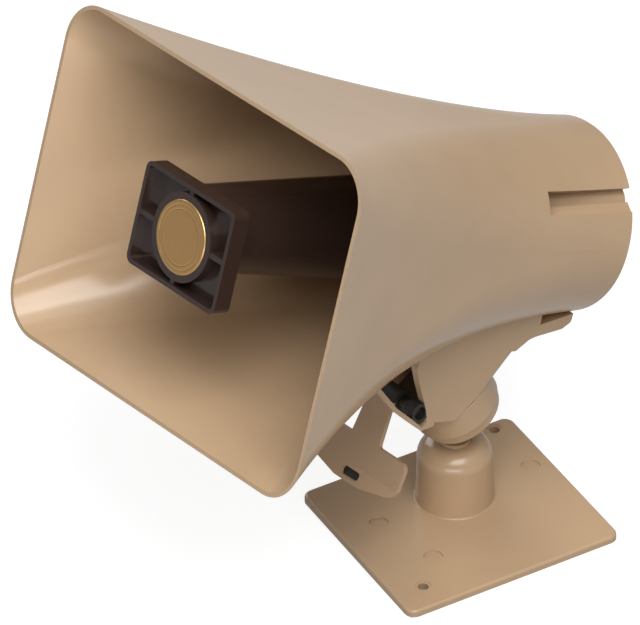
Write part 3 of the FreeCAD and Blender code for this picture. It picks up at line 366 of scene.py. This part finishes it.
def seen_by_eye(nodes, links, mirrored):
    """1 for a ray of the camera or through clear material, mirrored for a reflection, 0 for light on things."""
    path = nodes.new("ShaderNodeLightPath")
    total = calculate(nodes, links, "MULTIPLY", path.outputs["Is Glossy Ray"], mirrored)
    for name in ("Is Camera Ray", "Is Transmission Ray"):
        total = calculate(nodes, links, "MAXIMUM", total, path.outputs[name])
    return total


def outside_plate(nodes, links):
    """FLOOR_GLOW on the open floor, and 0 under the mounting plate, so that its screw holes look dark."""
    low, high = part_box("mount_base")
    place = nodes.new("ShaderNodeTexCoord")
    split = nodes.new("ShaderNodeSeparateXYZ")
    links.new(place.outputs["Object"], split.inputs["Vector"])
    beyond = []
    for axis in range(2):
        middle = (low[axis] + high[axis]) / 2
        half = (high[axis] - low[axis]) / 2
        offset = calculate(nodes, links, "SUBTRACT", split.outputs[axis], middle)
        distance = calculate(nodes, links, "ABSOLUTE", offset)
        beyond.append(calculate(nodes, links, "GREATER_THAN", distance, half - PLATE_MARGIN))
    either = calculate(nodes, links, "MAXIMUM", beyond[0], beyond[1])
    return calculate(nodes, links, "MULTIPLY", either, FLOOR_GLOW)


def add_floor():
    bpy.ops.mesh.primitive_plane_add(size=FLOOR_SIZE, location=(0, 0, FLOOR_HEIGHT))
    floor = bpy.context.object
    floor.name = "floor"
    material, nodes, links = new_material("floor")
    shader = nodes["Principled BSDF"]
    shader.inputs["Base Color"].default_value = (FLOOR_GREY, FLOOR_GREY, FLOOR_GREY, 1)
    shader.inputs["Roughness"].default_value = FLOOR_ROUGHNESS
    shader.inputs["Specular IOR Level"].default_value = 0.0
    shader.inputs["Emission Color"].default_value = (1, 1, 1, 1)
    seen = seen_by_eye(nodes, links, MIRRORED_FLOOR)
    lift = calculate(nodes, links, "MULTIPLY", seen, outside_plate(nodes, links))
    links.new(lift, shader.inputs["Emission Strength"])
    floor.data.materials.append(material)


def area_light(name, azimuth, elevation, distance, width, height, power):
    """A soft box in a direction from the point that all of them are turned to."""
    towards = away_from_mouth(math.radians(azimuth), math.radians(elevation))
    data = bpy.data.lights.new(name, "AREA")
    data.shape = "RECTANGLE"
    data.size = width
    data.size_y = height
    data.energy = power
    light = add_object(name, data)
    light.location = LIGHT_AIM + towards * distance
    light.rotation_euler = towards.to_track_quat("Z", "Y").to_euler()


def add_lights():
    for soft_box in SOFT_BOXES:
        area_light(*soft_box)
    world = bpy.data.worlds.new("world")
    world.use_nodes = True
    nodes = world.node_tree.nodes
    links = world.node_tree.links
    nodes["Background"].inputs["Color"].default_value = (1, 1, 1, 1)
    level = nodes.new("ShaderNodeMapRange")
    level.inputs["To Min"].default_value = STUDIO_ON_THINGS
    level.inputs["To Max"].default_value = STUDIO_SEEN
    links.new(seen_by_eye(nodes, links, MIRRORED_STUDIO), level.inputs["Value"])
    links.new(level.outputs["Result"], nodes["Background"].inputs["Strength"])
    bpy.context.scene.world = world


add_camera()
add_floor()
add_lights()
finish_nodes()
# Painted shade: the lever's hub and the housing's bosses round the pin are made black.
paint_shade_round_pin("clamp_lever", "lever", "lever_beige", 0.0, HUB_SHADE_END, HUB_SHADE_RADIUS)
paint_shade_round_pin("socket_housing", "horn", "beige", BOSS_SHADE_START, BOSS_SHADE_END, BOSS_SHADE_RADIUS)
# Painted shade: a dark plate closes the slot in the lever's lip.
add_shade_plate_in_slot()
bpy.context.scene.view_settings.view_transform = "Standard"
